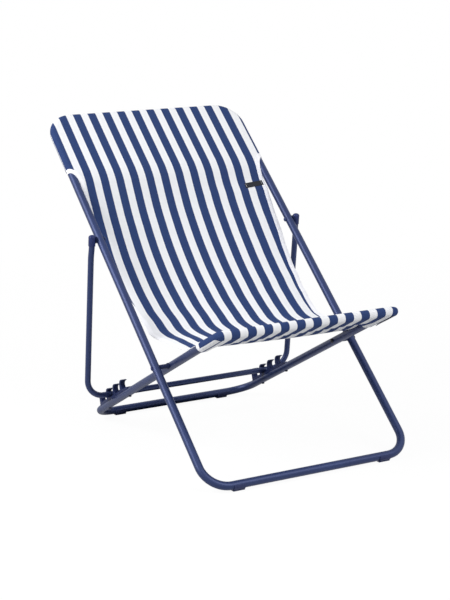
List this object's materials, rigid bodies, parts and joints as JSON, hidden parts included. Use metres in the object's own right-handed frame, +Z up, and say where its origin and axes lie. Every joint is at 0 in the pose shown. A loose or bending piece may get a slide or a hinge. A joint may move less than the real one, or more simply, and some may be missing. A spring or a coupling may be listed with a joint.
{
  "type": "folding deck chair",
  "caption": "Folding deck chair: crossed bent-tube frames, a U-shaped prop that drops into hooked racks, and a striped canvas sling.",
  "frame": {"origin": "on the floor, in the middle of the rectangle that the unfolded chair stands over", "axes": "+Z up; +Y towards the raised head end, so the sitter faces -Y; +X across the chair"},
  "size_m": [0.61, 0.8644, 0.7949],
  "materials": {
    "painted_tube": "satin navy paint",
    "steel": "bare drawn steel",
    "navy_plastic": "moulded, satin navy",
    "dark_plastic": "moulded, fine grain, near-black navy",
    "dark_screw": "dark oxide steel",
    "canvas": "woven cotton canvas in navy and white stripes, mean colour"
  },
  "bodies": {
    "seat_frame": {"seat_frame_tube": "painted_tube", "seat_frame_sleeve": "steel", "rack_left": "dark_plastic", "rack_right": "dark_plastic", "rack_screw_rear_left": "dark_screw", "rack_screw_front_left": "dark_screw", "rack_screw_rear_right": "dark_screw", "rack_screw_front_right": "dark_screw", "foot_pad_rear_left": "dark_plastic", "foot_pad_rear_right": "dark_plastic", "sling_lap_panel": "canvas", "sling_seat_panel": "canvas", "sling_seat_pocket": "canvas"},
    "back_frame": {"back_frame_tube": "painted_tube", "back_frame_sleeve": "steel", "pivot_pin_left": "navy_plastic", "pivot_nut_left": "dark_screw", "pivot_spacer_left": "dark_plastic", "prop_pin_left": "dark_screw", "prop_washer_left": "dark_plastic", "foot_pad_front_left": "dark_plastic", "pivot_pin_right": "navy_plastic", "pivot_nut_right": "dark_screw", "pivot_spacer_right": "dark_plastic", "prop_pin_right": "dark_screw", "prop_washer_right": "dark_plastic", "foot_pad_front_right": "dark_plastic", "sling_head_pocket": "canvas", "sling_back_panel": "canvas"},
    "prop": {"prop_tube": "painted_tube", "prop_cap_left": "navy_plastic", "prop_cap_right": "navy_plastic"}
  },
  "joints": [
    {"name": "back_frame_fold", "type": "hinge", "parent": "seat_frame", "child": "back_frame", "pos_m": [0, -0.1693, 0.2427], "axis": [1, 0, 0], "range_deg": [0, 107], "deforming": ["sling_lap_panel"]},
    {"name": "prop_swing", "type": "hinge", "parent": "back_frame", "child": "prop", "pos_m": [0, 0.1217, 0.5094], "axis": [1, 0, 0], "range_deg": [-54, 0]}
  ],
  "couplings": [
    {"joint": "prop_swing", "follows": "back_frame_fold", "ratio": -0.5}
  ]
}
